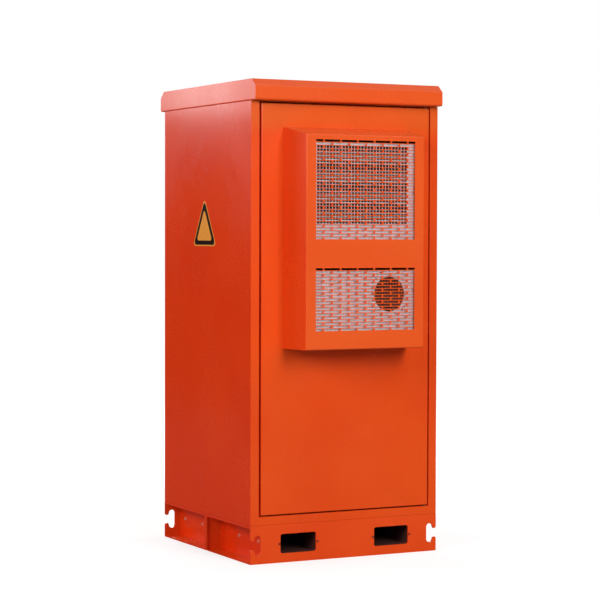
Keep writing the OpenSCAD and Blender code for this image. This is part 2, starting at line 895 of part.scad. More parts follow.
module front_leaf() {
    color("orangered")
    difference() {
        door_leaf();
        box([-ac_cut_half - chassis_play, -half_d - EPS, chassis_low - chassis_play],
            [ac_cut_half + chassis_play, -half_d + sheet + EPS, chassis_high + chassis_play]);
    }
}

latch_zs = [500, 1410];
stiffener_w = 30;
spindle_r = 6;

module stiffener_pair(bores) {
    y0 = -half_d + sheet;
    y1 = -half_d + leaf_d - sheet;
    t = 1.5;
    color("silver")
    for (s = [-1, 1]) difference() {
        box([s * lock_x - stiffener_w / 2, y0, leaf_bottom + sheet],
            [s * lock_x + stiffener_w / 2, y1, leaf_top - sheet]);
        box([s * lock_x - stiffener_w / 2 + t, y0 - EPS, leaf_bottom + sheet - EPS],
            [s * lock_x + stiffener_w / 2 - t, y1 - t, leaf_top - sheet + EPS]);
        if (s < 0) for (z = bores) rod_y(-lock_x, z, y1 - t - EPS, y1 + EPS, spindle_r + bore_gap);
    }
}

module front_stiffeners() {
    stiffener_pair(latch_zs);
}

gasket_w = 14;
gasket_in = 5;

module door_gasket() {
    y0 = -half_d + leaf_d;
    left = leaf_left + gasket_in;
    right = pin_x - 2.5;
    low = leaf_bottom + 9;
    high = leaf_top - 9;
    color("black")
    ring_xz([left, right, low, high],
        [left + gasket_w, right - gasket_w, low + gasket_w, high - gasket_w], y0, landing_y - seat_gap);
}

module front_gasket() {
    door_gasket();
}

// Upper and lower pivot pins, each with a thrust collar in the gap beside the leaf
module hinge_pins() {
    collar_r = 8;
    color("silver") {
        for (up = [0, 1]) translate([pin_x, pin_y, up == 0 ? leaf_bottom : leaf_top])
            mirror([0, 0, up]) {
                translate([0, 0, -gap_end - boss_h]) cylinder(r = pin_r, h = gap_end + boss_h + boss_w);
                translate([0, 0, seat_gap - gap_end]) cylinder(r = collar_r, h = gap_end - seat_gap);
            }
    }
}

module front_hinge_pins() {
    hinge_pins();
}

cam_y = landing_y + sheet + 0.5;
cam_t = 4;
cam_reach = 50;
cam_w = 16;

// Quarter-turn latch: spindle, cam that hangs down when released, and a wing to turn it by
module quarter_latch(z) {
    wing_l = 56;
    color("silver")
    translate([-lock_x, 0, z]) {
        rod_y(0, 0, -half_d + 14, cam_y + cam_t, spindle_r);
        plate_xz(cam_y, cam_t) {
            circle(cam_w / 2);
            translate([-cam_w / 2, -cam_reach + cam_w / 2]) square([cam_w, cam_reach - cam_w / 2]);
            translate([0, -cam_reach + cam_w / 2]) circle(cam_w / 2);
        }
        rod_y(0, 0, cam_y + cam_t, cam_y + cam_t + 8, cam_w / 2);
        plate_xz(cam_y + cam_t + 8, 9) round_rect(12, wing_l, 5.9);
    }
}

module front_latch_upper() {
    quarter_latch(latch_zs[1]);
}

module front_latch_lower() {
    quarter_latch(latch_zs[0]);
}

// Air conditioner
ac_front = -half_d - ac_depth;
ac_back = -half_d + leaf_d + ac_inside;
ac_top_drop = ac_base_h - ac_face_h;

// Solid of the cover, drawn in by t on every side but the open back
module ac_body(t) {
    r = ac_fold_r - t;
    back = t > 0 ? -EPS : 0;
    plan = [[ac_base_w / 2, -half_d], [ac_face_w / 2, ac_front], [-ac_face_w / 2, ac_front],
        [-ac_base_w / 2, -half_d]];
    side = [[ac_front, ac_z], [ac_front, ac_z + ac_face_h], [-half_d, ac_z + ac_base_h],
        [-half_d, ac_z]];
    intersection() {
        translate([0, 0, ac_z - EPS]) linear_extrude(ac_base_h + 2 * EPS)
            polygon(folded(drawn_in(plan, [t, t, t, back]), [0, r, r, 0]));
        prism_yz(-ac_base_w, 2 * ac_base_w)
            polygon(folded(drawn_in(side, [t, t, back, t]), [r, r, 0, 0]));
    }
}

// One grille: rows of slots, with the joints of each row over the middles of the next
module slot_rows(top, rows) {
    pitch = slot_l + slot_web;
    width = slot_count * pitch - slot_web;
    for (i = [0:rows - 1]) translate([0, top - i * row_pitch]) {
        if (i % 2 == 1)
            for (k = [0:slot_count - 1])
                translate([-width / 2 + k * pitch, -slot_h / 2]) square([slot_l, slot_h]);
        else {
            half_l = (slot_l - slot_web) / 2;
            for (k = [1:slot_count - 1])
                translate([-width / 2 + (k - 0.5) * pitch, -slot_h / 2]) square([slot_l, slot_h]);
            for (s = [-1, 1])
                translate([s * (width - half_l) / 2, 0]) square([half_l, slot_h], center = true);
        }
    }
}

module ac_cover() {
    color("orangered")
    difference() {
        ac_body(0);
        ac_body(ac_sheet);
        plate_xz(ac_front - EPS, ac_sheet + 2 * EPS) {
            slot_rows(upper_top, upper_rows);
            slot_rows(lower_top, lower_rows);
        }
    }
}

upper_top = ac_z + ac_face_h - upper_drop;
lower_top = ac_z + lower_rise;
guard_gap = 10;
guard_t = 1.5;
guard_side = 1;
guard_low = 2;
guard_under = 30;
guard_split = lower_top + slot_h;
guard_y = ac_front + ac_sheet + guard_gap;
guard_half = ac_cut_half - guard_side;
coil_x = -10;
coil_cols = 29;
coil_rows = 22;
coil_mid_z = upper_top - field_drop;
fan_z = lower_top - fan_drop;
fan_cells = 5;

module guard_plate_upper() {
    top = upper_top - slot_h / 2 - guard_low;
    bottom = max(upper_top - (upper_rows - 1) * row_pitch - guard_under, guard_split + guard_low);
    color("lightgray")
    plate_xz(guard_y, guard_t) difference() {
        translate([-guard_half, bottom]) square([2 * guard_half, top - bottom]);
        for (i = [0:coil_cols - 1], j = [0:coil_rows - 1])
            translate([coil_x + (i - (coil_cols - 1) / 2) * hole_pitch,
                coil_mid_z + (j - (coil_rows - 1) / 2) * hole_pitch]) square(hole_s, center = true);
    }
}

module guard_plate_lower() {
    top = min(lower_top - slot_h / 2 - guard_low, guard_split);
    reach = fan_cells + 0.35;
    color("lightgray")
    plate_xz(guard_y, guard_t) difference() {
        translate([-guard_half, chassis_low]) square([2 * guard_half, top - chassis_low]);
        for (i = [-fan_cells:fan_cells], j = [-fan_cells:fan_cells])
            if (norm([i, j]) < reach)
                translate([fan_x + i * fan_hole_pitch, fan_z + j * fan_hole_pitch])
                    square(hole_s, center = true);
        for (x = [-1, 1], z = [-1, 1])
            translate([fan_x + x * fan_screw_pitch / 2, fan_z + z * fan_screw_pitch / 2]) circle(2.2);
    }
}

// Housing that passes through the door leaf, with a flange that seats on the leaf's face
module ac_chassis() {
    y0 = guard_y + guard_t;
    y1 = ac_back - guard_t;
    flange_w = 16;
    flange_low = ac_z + ac_sheet + seat_gap;
    inner = [-ac_cut_half + sheet, ac_cut_half - sheet, chassis_low + sheet, chassis_high - sheet];
    color("silver") {
        ring_xz([-ac_cut_half, ac_cut_half, chassis_low, chassis_high], inner, y0, y1);
        ring_xz([-ac_cut_half - flange_w, ac_cut_half + flange_w, flange_low, chassis_high + flange_w],
            inner, -half_d - sheet, -half_d);
    }
}

module ac_partition() {
    color("silver")
    box([-ac_cut_half + sheet, -half_d, chassis_low + sheet],
        [ac_cut_half - sheet, -half_d + sheet, chassis_high - sheet]);
}

// Finned block between two end plates, standing on its lower pipe row
module finned_coil(x0, x1, z0, z1, y0, y1) {
    end_t = 3;
    groove = 4;
    fins = 36;
    pitch = (x1 - x0 - 2 * end_t) / fins;
    color("gray")
    difference() {
        box([x0, y0, z0], [x1, y1, z1]);
        for (i = [0:fins - 1])
            box([x0 + end_t + (i + 0.25) * pitch, y0 - EPS, z0 + end_t],
                [x0 + end_t + (i + 0.75) * pitch, y0 + groove, z1 - end_t]);
    }
}

coil_right = 200;
coil_gap = 10;
coil_t = 45;
condenser_h = 321.5;
evaporator_h = 280;
evaporator_t = 40;
evaporator_gap = 20;
coil_drop = 12;
evaporator_drop = 43.5;

module condenser_coil() {
    top = chassis_high - sheet - coil_drop;
    y0 = guard_y + guard_t + coil_gap;
    finned_coil(-ac_cut_half + sheet, coil_right, top - condenser_h, top, y0, y0 + coil_t);
}

module evaporator_coil() {
    top = chassis_high - sheet - evaporator_drop;
    y0 = -half_d + sheet + evaporator_gap;
    finned_coil(-ac_cut_half + sheet, ac_cut_half - sheet, top - evaporator_h, top,
        y0, y0 + evaporator_t);
}

// Square fan frame with a round duct and a motor plate on three struts, drawn at the origin
module fan_frame() {
    duct_r = fan_w / 2 - 4.5;
    motor_r = 30;
    back = 4;
    color("dimgray")
    difference() {
        union() {
            difference() {
                plate_xz(0, fan_t) round_rect(fan_w, fan_w, 6);
                rod_y(0, 0, -EPS, fan_t + EPS, duct_r);
            }
            rod_y(0, 0, fan_t - back, fan_t, motor_r);
            for (a = [30, 150, 270]) rotate([0, a, 0])
                box([motor_r - 2, fan_t - back, -4], [duct_r + 1, fan_t, 4]);
        }
        for (x = [-1, 1], z = [-1, 1])
            rod_y(x * fan_screw_pitch / 2, z * fan_screw_pitch / 2, -EPS, fan_t + EPS, 2.2);
        rod_y(0, 0, fan_t - back - EPS, fan_t + EPS, 3 + bore_gap);
    }
}

// Rotor: hub, shaft and seven pitched blades
module fan_rotor() {
    duct_r = fan_w / 2 - 4.5;
    tip_r = duct_r - fan_gap;
    hub_r = 28;
    front = 5;
    depth = fan_t - 10;
    color("black") {
        rod_y(0, 0, front, front + depth, hub_r);
        rod_y(0, 0, front + depth, fan_t, 3);
        intersection() {
            difference() {
                rod_y(0, 0, front + 2, front + depth - 2, tip_r);
                rod_y(0, 0, front + 1, front + depth - 1, hub_r - 2);
            }
            for (i = [0:6]) rotate([0, i * 360 / 7, 0]) translate([0, front + depth / 2, 0])
                rotate([38, 0, 0]) box([hub_r - 3, -20, -1.2], [tip_r + 2, 20, 1.2]);
        }
    }
}

module condenser_fan_frame() {
    translate([fan_x, guard_y + guard_t, fan_z]) fan_frame();
}

module condenser_fan_rotor() {
    translate([fan_x, guard_y + guard_t, fan_z]) fan_rotor();
}

indoor_fan_z = chassis_low + 130;

module indoor_fan_frame() {
    translate([0, ac_back - guard_t, indoor_fan_z]) rotate([0, 0, 180]) fan_frame();
}

module indoor_fan_rotor() {
    translate([0, ac_back - guard_t, indoor_fan_z]) rotate([0, 0, 180]) fan_rotor();
}

module compressor() {
    r = 46;
    h = 190;
    crown = 20;
    color("black")
    translate([-110, guard_y + guard_t + 66, chassis_low + sheet]) {
        cylinder(r = r, h = h - crown);
        translate([0, 0, h - crown]) cylinder(r1 = r, r2 = r - 22, h = crown);
        for (a = [0:120:240]) rotate(a) translate([r - 6, -9, 0]) cube([16, 18, 6]);
    }
}

module ac_inner_cover() {
    louvre_count = 16;
    louvre_w = 170;
    louvre_h = 8;
    louvre_web = 20;
    louvre_pitch = 17;
    louvre_top = chassis_high - 60;
    vent_pitch = 12;
    vent_r = 4;
    color("silver")
    plate_xz(ac_back - guard_t, guard_t) difference() {
        translate([-ac_cut_half, chassis_low]) square([2 * ac_cut_half, chassis_high - chassis_low]);
        for (i = [0:louvre_count - 1], s = [-1, 1])
            translate([s * (louvre_w + louvre_web) / 2, louvre_top - i * louvre_pitch])
                square([louvre_w, louvre_h], center = true);
        for (k = [1:4]) for (i = [0:6 * k - 1])
            translate([k * vent_pitch * cos(i * 60 / k), indoor_fan_z + k * vent_pitch * sin(i * 60 / k)])
                circle(vent_r, $fn = 24);
    }
}

// Rear door
module rear_leaf() {
    rotate(180) color("orangered") difference() {
        door_leaf();
        rod_y(-lock_x, handle_z, -half_d - EPS, -half_d + sheet + EPS, spindle_r + bore_gap);
    }
}

rod_y0 = landing_y + sheet + 2;
rod_y1 = rod_y0 + 2 * rod_r;
guide_zs = [[1180, 1600], [300, 800]];

module rear_stiffeners() {
    y1 = -half_d + leaf_d - sheet;
    guide_h = 12;
    rotate(180) {
        stiffener_pair([handle_z]);
        color("silver")
        for (k = [0, 1], z = guide_zs[k]) translate([-lock_x + (k == 0 ? -1 : 1) * rod_off, 0, z])
            difference() {
                box([-guide_w / 2, y1, 0], [guide_w / 2, rod_y1 + 3, guide_h]);
                translate([0, rod_y0 + rod_r, -EPS])
                    cylinder(r = rod_r + bore_gap, h = guide_h + 2 * EPS);
            }
    }
}

module rear_gasket() {
    rotate(180) door_gasket();
}

module rear_hinge_pins() {
    rotate(180) hinge_pins();
}

// Handle at rest lies level, pointing to the hinges, with the rods drawn in
module rear_handle() {
    hub_r = 15;
    lever_l = 125;
    stand = 10;
    lever_t = 12;
    face = -half_d - stand - lever_t;
    color("dimgray")
    rotate(180) translate([-lock_x, 0, handle_z]) {
        rod_y(0, 0, face, -half_d - seat_gap, hub_r);
        rod_y(0, 0, -half_d - seat_gap, rod_y1 + 4, spindle_r);
        plate_xz(face, lever_t) {
            translate([0, -hub_r * 0.8]) square([lever_l - 9, hub_r * 1.6]);
            translate([lever_l - 12, 0]) circle(hub_r * 0.8);
        }
    }
}

backlash = 0.3;
rack_add = 1.35;

// Involute point of a base circle r at roll angle t
function involute(r, t) = r * [cos(t) + t * PI / 180 * sin(t), sin(t) - t * PI / 180 * cos(t)];

module lock_pinion() {
    base_r = pitch_r * cos(20);
    tip_r = pitch_r + gear_m;
    root_r = pitch_r - 1.2 * gear_m;
    inv20 = tan(20) * 180 / PI - 20;
    half_tooth = 90 / gear_teeth - backlash / 2 / pitch_r * 180 / PI;
    tip_roll = sqrt(pow(tip_r / base_r, 2) - 1) * 180 / PI;
    flank = [for (i = [0:5]) involute(base_r, tip_roll * i / 5)];
    turn = -half_tooth - inv20;
    function spun(p, a) = [p[0] * cos(a) - p[1] * sin(a), p[0] * sin(a) + p[1] * cos(a)];
    right = concat([root_r * [cos(turn), sin(turn)]], [for (p = flank) spun(p, turn)]);
    left = [for (i = [len(right) - 1:-1:0]) [right[i][0], -right[i][1]]];
    color("silver")
    rotate(180) translate([-lock_x, 0, handle_z]) difference() {
        plate_xz(rod_y0, 2 * rod_r) {
            circle(root_r);
            for (k = [0:gear_teeth - 1]) rotate(k * 360 / gear_teeth)
                polygon(concat([[0, 0]], right, left));
        }
        rod_y(0, 0, rod_y0 - EPS, rod_y1 + EPS, spindle_r + bore_gap);
    }
}

// Toothed bar that lies against the pinion on its left side, its spaces centred on z = 0
module tooth_bar(low, high) {
    pitch = PI * gear_m;
    root = 1.25 * gear_m;
    back = rod_in + rod_r + 1;
    half_base = pitch / 4 + tan(20) * root - backlash / 4;
    half_tip = pitch / 4 - tan(20) * rack_add - backlash / 4;
    first = ceil(low / pitch);
    last = floor(high / pitch) - 1;
    plate_xz(rod_y0, 2 * rod_r) {
        translate([-pitch_r - back, low - 3]) square([back - root, high - low + 6]);
        for (k = [first:last]) translate([-pitch_r, (k + 0.5) * pitch])
            polygon([[-root - 0.01, -half_base], [rack_add, -half_tip],
                [rack_add, half_tip], [-root - 0.01, half_base]]);
    }
}

rod_travel = pitch_r * PI / 2;
rod_clear = 4;

module lock_rod_upper() {
    color("silver")
    rotate(180) translate([-lock_x, 0, 0]) {
        translate([0, 0, handle_z]) tooth_bar(-rod_travel - 10, 10);
        translate([-rod_off, rod_y0 + rod_r, handle_z + 10])
            cylinder(r = rod_r, h = way_top - rod_clear - handle_z - 10);
    }
}

module lock_rod_lower() {
    color("silver")
    rotate(180) translate([-lock_x, 0, 0]) {
        mirror([1, 0, 0]) translate([0, 0, handle_z]) tooth_bar(-10, rod_travel + 10);
        translate([rod_off, rod_y0 + rod_r, way_bottom + rod_clear])
            cylinder(r = rod_r, h = handle_z - 10 - way_bottom - rod_clear);
    }
}

plinth_front_plate();
plinth_rear_plate();
plinth_side_left();
plinth_side_right();
fork_tube_left();
fork_tube_right();
fork_tube_screws();
plinth_bolts();
floor_pan();
gland_plate();
cable_glands();
left_side_panel();
right_side_panel();
front_frame();
rear_frame();
ceiling_panel();
roof_cap();
roof_spacers();
left_insulation();
right_insulation();
rack_beams();
rack_rail_front_left();
rack_rail_front_right();
rack_rail_rear_left();
rack_rail_rear_right();
patch_panel_upper();
patch_panel_lower();
adapters_upper();
adapters_lower();
splice_cassettes();
equipment_shelf();
cable_rail();
earth_bar();
front_leaf();
front_stiffeners();
front_gasket();
front_hinge_pins();
front_latch_upper();
front_latch_lower();
ac_cover();
guard_plate_upper();
guard_plate_lower();
ac_chassis();
ac_partition();
condenser_coil();
condenser_fan_frame();
condenser_fan_rotor();
compressor();
evaporator_coil();
indoor_fan_frame();
indoor_fan_rotor();
ac_inner_cover();
rear_leaf();
rear_stiffeners();
rear_gasket();
rear_hinge_pins();
rear_handle();
lock_pinion();
lock_rod_upper();
lock_rod_lower();
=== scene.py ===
import json
import math
import bmesh
import bpy
from mathutils import Matrix, Vector


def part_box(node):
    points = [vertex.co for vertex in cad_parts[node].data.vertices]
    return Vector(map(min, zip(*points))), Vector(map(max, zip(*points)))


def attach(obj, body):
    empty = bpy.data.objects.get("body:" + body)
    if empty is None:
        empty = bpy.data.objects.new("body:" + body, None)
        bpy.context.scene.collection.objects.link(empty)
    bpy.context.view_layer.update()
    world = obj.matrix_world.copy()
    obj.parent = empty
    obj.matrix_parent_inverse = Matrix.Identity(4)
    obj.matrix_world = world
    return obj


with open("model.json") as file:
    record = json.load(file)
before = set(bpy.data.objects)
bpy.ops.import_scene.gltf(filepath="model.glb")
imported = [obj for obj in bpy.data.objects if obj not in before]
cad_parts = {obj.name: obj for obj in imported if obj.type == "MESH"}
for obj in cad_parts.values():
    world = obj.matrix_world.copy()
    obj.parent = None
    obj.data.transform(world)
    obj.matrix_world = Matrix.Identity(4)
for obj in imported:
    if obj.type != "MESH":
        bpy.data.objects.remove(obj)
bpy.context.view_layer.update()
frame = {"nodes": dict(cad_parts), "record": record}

nodes = frame["nodes"]
print("frame loaded:", len(nodes), "nodes")


# a socket that can be added, multiplied and so on
class Wire:
    def __init__(self, tree, socket):
        self.tree = tree
        self.socket = socket

    def maths(self, operation, *values, clamp=False):
        made = self.tree.nodes.new("ShaderNodeMath")
        made.operation = operation
        made.use_clamp = clamp
        for place, value in zip(made.inputs, values):
            if isinstance(value, Wire):
                self.tree.links.new(value.socket, place)
            else:
                place.default_value = value
        return Wire(self.tree, made.outputs[0])

    def __add__(self, other):
        return self.maths("ADD", self, other)

    def __sub__(self, other):
        return self.maths("SUBTRACT", self, other)

    def __rsub__(self, other):
        return self.maths("SUBTRACT", other, self)

    def __mul__(self, other):
        return self.maths("MULTIPLY", self, other)

    def __truediv__(self, other):
        return self.maths("DIVIDE", self, other)

    def __pow__(self, other):
        return self.maths("POWER", self, other)

    def either(self, other):
        return self.maths("MAXIMUM", self, other)

    def size(self):
        return self.maths("ABSOLUTE", self)

    def fraction(self):
        return self.maths("FRACT", self)

    def sine(self):
        return self.maths("SINE", self)

    # kept between 0 and 1
    def held(self):
        return self.maths("ADD", self, 0.0, clamp=True)

    __radd__ = __add__
    __rmul__ = __mul__


# the nodes of a world or a material
class Nodes:
    def __init__(self, tree):
        self.tree = tree

    # a socket goes by its name, with _ for a space, or by n and its number
    def set(self, made, values):
        for name, value in values.items():
            name = name.replace("_", " ")
            socket = made.inputs[int(name[1:]) if name[0] == "n" and name[1:].isdigit() else name]
            if isinstance(value, Wire):
                value = value.socket
            if isinstance(value, bpy.types.NodeSocket):
                self.tree.links.new(value, socket)
            else:
                socket.default_value = value

    def add(self, kind, settings=None, **values):
        made = self.tree.nodes.new(kind)
        for name, value in (settings or {}).items():
            setattr(made, name, value)
        self.set(made, values)
        return made

    def wire(self, socket):
        return Wire(self.tree, socket)


# one material being built
class Finish(Nodes):
    def __init__(self, name, **values):
        self.material = bpy.data.materials.new(name)
        self.material.use_nodes = True
        super().__init__(self.material.node_tree)
        self.shader = self.tree.nodes["Principled BSDF"]
        self.set(self.shader, values)
        self.place = self.add("ShaderNodeTexCoord").outputs["Object"]

    def noise(self, scale, detail, shift=(0, 0, 0), rough=0.5):
        moved = self.add("ShaderNodeMapping", Vector=self.place, Location=shift).outputs[0]
        made = self.add("ShaderNodeTexNoise", Vector=moved, Scale=scale, Detail=detail, Roughness=rough)
        return self.wire(made.outputs["Fac"])

    # a chance value for each crystal of a zinc coat
    def facets(self, scale):
        cells = self.add("ShaderNodeTexVoronoi", Vector=self.place, Scale=scale)
        return self.wire(self.add("ShaderNodeSeparateColor", Color=cells.outputs["Color"]).outputs[0])

    def along(self, axis):
        return self.wire(self.add("ShaderNodeSeparateXYZ", Vector=self.place).outputs[axis])

    # 0 at low, 1 at high, soft between; it falls where low is the greater
    def ramp(self, value, low, high):
        made = self.add("ShaderNodeMapRange", {"interpolation_type": "SMOOTHSTEP"},
                        n0=value, n1=low, n2=high, n3=0.0, n4=1.0)
        return self.wire(made.outputs[0])

    def mixed(self, factor, first, second, blend="MIX"):
        made = self.add("ShaderNodeMix", {"data_type": "RGBA", "blend_type": blend},
                        n0=factor, n6=first, n7=second)
        return made.outputs[2]

    # relief from a height in millimetres
    def bumped(self, height):
        made = self.add("ShaderNodeBump", Height=height, Strength=1.0, Distance=0.001)
        self.set(self.shader, {"Normal": made.outputs[0]})


def srgb(r, g, b):
    def straight(v):
        v = v / 255
        return v / 12.92 if v <= 0.04045 else ((v + 0.055) / 1.055) ** 2.4
    return (straight(r), straight(g), straight(b), 1)


def shaded(colour, by):
    return tuple(min(1, c * by) for c in colour[:3]) + (1,)


# the photograph's camera, in metres, degrees and millimetres
camera = {
    "place": (-3.64382, -7.11389, 1.22443),
    "turn": -27.1825,
    "dip": 1.8454,
    "roll": -0.1535,
    "lens": 121.193,
    "sensor": 36,
    "sees": 100,
}


def makeCamera():
    data = bpy.data.cameras.new("camera")
    data.lens = camera["lens"]
    data.sensor_width = camera["sensor"]
    data.clip_end = camera["sees"]
    eye = bpy.data.objects.new("camera", data)
    bpy.context.scene.collection.objects.link(eye)
    turn = Matrix.Rotation(math.radians(camera["turn"]), 4, "Z")
    dip = Matrix.Rotation(math.radians(90 - camera["dip"]), 4, "X")
    roll = Matrix.Rotation(math.radians(-camera["roll"]), 4, "Z")
    eye.matrix_world = Matrix.Translation(camera["place"]) @ turn @ dip @ roll
    bpy.context.scene.camera = eye
    print("camera placed")


# soft lamps that face the aim: degrees to the right of the front, degrees above the
# level, distance, width and height, and power; the gloss doesn't show the right one
lamps = {
    "key": {"turn": 5, "rise": 20, "far": 8.4, "size": (2.4, 3.2), "power": 368},
    "high": {"turn": 15, "rise": 38, "far": 8.4, "size": (3.0, 2.4), "power": 90},
    "side": {"turn": -65, "rise": 20, "far": 8.4, "size": (3.4, 3.2), "power": 335},
    "behind": {"turn": -120, "rise": 16, "far": 8.4, "size": (2.4, 2.6), "power": 118},
    "right": {"turn": 98, "rise": 18, "far": 6.0, "size": (2.4, 2.4), "power": 170, "gloss": False},
    "rear": {"turn": 172, "rise": 18, "far": 6.0, "size": (2.4, 2.4), "power": 190},
    "sheen": {"turn": -151, "rise": 20.9, "far": 6.1, "size": (2.0, 2.2), "power": 47},
}
aim = (0, 0, 0.9)


def makeLamps():
    for name, lamp in lamps.items():
        data = bpy.data.lights.new(name, "AREA")
        data.shape = "RECTANGLE"
        data.size, data.size_y = lamp["size"]
        data.energy = lamp["power"]
        light = bpy.data.objects.new(name, data)
        light.visible_camera = False
        light.visible_glossy = lamp.get("gloss", True)
        bpy.context.scene.collection.objects.link(light)
        turn, rise = math.radians(lamp["turn"]), math.radians(lamp["rise"])
        flat = math.cos(rise)
        way = Vector((flat * math.sin(turn), -flat * math.cos(turn), math.sin(rise)))
        facing = way.to_track_quat("Z", "Y").to_matrix().to_4x4()
        light.matrix_world = Matrix.Translation(Vector(aim) + way * lamp["far"]) @ facing
    print("lamps:", len(lamps))


# strength of the room's light, and of what the gloss sees below and above the height where it rises
room = {"light": 0.12, "low": 0.02, "high": 0.6, "from": 0.1, "rise": 1.5}


def makeRoom():
    world = bpy.data.worlds.new("room")
    bpy.context.scene.world = world
    world.use_nodes = True
    made = Nodes(world.node_tree)
    path = made.add("ShaderNodeLightPath").outputs
    way = made.add("ShaderNodeTexCoord").outputs["Generated"]
    height = made.wire(made.add("ShaderNodeSeparateXYZ", Vector=way).outputs["Z"])
    up = ((height - room["from"]) * room["rise"]).held()
    gloss = made.wire(path["Is Glossy Ray"]).either(made.wire(path["Is Transmission Ray"]))
    light = room["light"]
    sheen = gloss * (up * (room["high"] - room["low"]) + (room["low"] - light))
    strength = made.wire(path["Is Camera Ray"]) * (1 - light) + sheen + light
    made.set(made.tree.nodes["Background"], {"Color": (1, 1, 1, 1), "Strength": strength})
    print("room ready")


# pale floor: its half width, its grey, the grey that the gloss sees, and how it glows towards the camera,
# from near to full strength between two distances
ground = {"reach": 40, "grey": 0.35, "mirrored": 0.06, "matt": 0.9, "near": 0.7, "spread": (0.9, 4.5)}


def makeFloor():
    mesh = bpy.data.meshes.new("floor")
    bm = bmesh.new()
    bmesh.ops.create_grid(bm, x_segments=1, y_segments=1, size=ground["reach"])
    bm.to_mesh(mesh)
    bm.free()
    floor = bpy.data.objects.new("floor", mesh)
    bpy.context.scene.collection.objects.link(floor)
    made = Finish("floorPaint", Roughness=ground["matt"], Emission_Strength=1.0, Specular_IOR_Level=0.0)
    path = made.add("ShaderNodeLightPath").outputs
    far = made.add("ShaderNodeVectorMath", {"operation": "LENGTH"}, n0=made.place).outputs["Value"]
    near = ground["near"]
    glow = made.wire(path["Is Camera Ray"]) * (made.ramp(far, *ground["spread"]) * (1 - near) + near)
    white, black = (1, 1, 1, 1), (0, 0, 0, 1)
    tones = [shaded(white, ground[tone]) for tone in ("grey", "mirrored")]
    made.set(made.shader, {"Base Color": made.mixed(path["Is Glossy Ray"], *tones),
                           "Emission Color": made.mixed(glow, black, white)})
    mesh.materials.append(made.material)
    print("floor ready")


# powder coat, with colours and strengths first, then the ranges where each thing starts and is full,
# and last each pattern's scale, detail, shift and roughness
powder = {
    "body": (srgb(232, 80, 22), srgb(227, 73, 19)),
    # painted sheen: the cover and the roof cap take a paler, yellower copy of the body's tones
    "cover": (srgb(233, 90, 34), srgb(229, 84, 30)),
    "plinth": (srgb(234, 79, 24), srgb(229, 71, 20)),
    "covers": ("ac_cover", "roof_cap"),
    "flank": (1.0, 0.58, 0.36, 1),    # painted shade: the sides are redder, standing in for their shading
    "topLight": (0.95, 1.4, 1.7, 1),     # painted light: doors and door frames are paler near the roof
    "dust": srgb(232, 122, 84), "dusty": 0.2,
    "specular": 0.22, "coat": 0.45, "coatRough": 0.12, "coatParts": (0.3, 1.1, 0.3),
    "rough": 0.25, "drifting": 0.16, "grainy": 0.03,
    "edge": 0.18,                     # the sides are duller towards their upper corners
    "weathered": 0.35,                # the roof's top is duller too, and has lost its gloss
    "wave": 1.6, "peel": 0.14,        # relief in millimetres
    "beside": (0.5, 0.9), "above": (0.6, 0.95), "aboveHeight": (1.7, 1.75), "topLightHeight": (1.58, 1.66),
    "edgeDepth": (0.16, 0.42), "edgeStray": 0.1, "edgeHeight": (0.9, 1.7),
    "cloudRange": (0.3, 0.7), "grainRange": (0.35, 0.65), "fleckRange": (0.70, 0.78),
    "patterns": {
        "cloud": (2.4, 3),
        "drift": (6, 4, (3, 1, 7)),
        "peel": (190, 2, (0, 0, 0), 0.6),
        "grain": (150, 3, (8, 4, 6), 0.6),
        "wave": (2.6, 2, (2, 5, 3)),
        "fleck": (330, 2, (5, 2, 1)),
    },
}


def powderCoat(name, tones, lightsTop=False):
    bright, deep = tones
    made = Finish(name, IOR=1.5, Specular_IOR_Level=powder["specular"], Coat_Roughness=powder["coatRough"])
    cloud, drift, peel, grain, wave, fleck = [made.noise(*spec) for spec in powder["patterns"].values()]
    grain = made.ramp(grain, *powder["grainRange"])
    facing = made.add("ShaderNodeSeparateXYZ", Vector=made.add("ShaderNodeTexCoord").outputs["Normal"])
    height = made.along("Z")
    beside = made.ramp(made.wire(facing.outputs["X"]).size(), *powder["beside"])
    above = made.ramp(made.wire(facing.outputs["Z"]), *powder["above"])
    above = above * made.ramp(height, *powder["aboveHeight"])

    tint = made.mixed(made.ramp(cloud, *powder["cloudRange"]), deep, bright)
    # painted shade: faces that face sideways take the redder flank tone
    tint = made.mixed(beside, tint, made.mixed(1.0, tint, powder["flank"], "MULTIPLY"))
    # painted light: front faces turn paler towards the roof
    if lightsTop:
        topLight = made.mixed(1.0, tint, powder["topLight"], "MULTIPLY")
        tint = made.mixed(made.ramp(height, *powder["topLightHeight"]) * (1 - beside), tint, topLight)
    tint = made.mixed(made.ramp(fleck, *powder["fleckRange"]) * powder["dusty"], tint, powder["dust"])

    stray = (drift - 0.5) * powder["edgeStray"]
    edge = beside * made.ramp(made.along("Y").size() + stray, *powder["edgeDepth"])
    edge = edge * made.ramp(height, *powder["edgeHeight"])
    rough = powder["rough"] + edge * powder["edge"] + above * powder["weathered"]
    rough = rough + (drift - 0.5) * powder["drifting"] + (grain - 0.5) * powder["grainy"]
    byGrain, byDrift, least = powder["coatParts"]
    coat = (1 - above) * (grain * byGrain + drift * byDrift + least) * powder["coat"]
    made.set(made.shader, {"Base Color": tint, "Roughness": rough.held(), "Coat Weight": coat.held()})
    made.bumped(wave * powder["wave"] + peel * powder["peel"])
    return made.material


# bare metals: colour, roughness, the scales of the fine grain and of the zinc's crystals, and how metallic
metals = {
    "galvanised": (srgb(205, 203, 201), 0.45, 300, 130, 0.9),
    "zincPlate": (srgb(206, 208, 212), 0.3, 900, 700, 0.9),
    "copperBar": (srgb(200, 118, 80), 0.3, 500, 300, 1.0),
    "boltPlate": (srgb(230, 150, 118), 0.45, 900, 700, 0.3),
}
surface = {
    "crystals": 0.65, "dark": 0.78, "light": 1.06, "patchy": 0.14,
    "smears": (14, 3), "smeared": 0.1, "relief": 0.024,
}


def metalTone(made, colour, facet, fine):
    share = surface["crystals"]
    tones = [shaded(colour, surface[tone]) for tone in ("dark", "light")]
    return made.mixed(facet * share + fine * (1 - share), *tones)


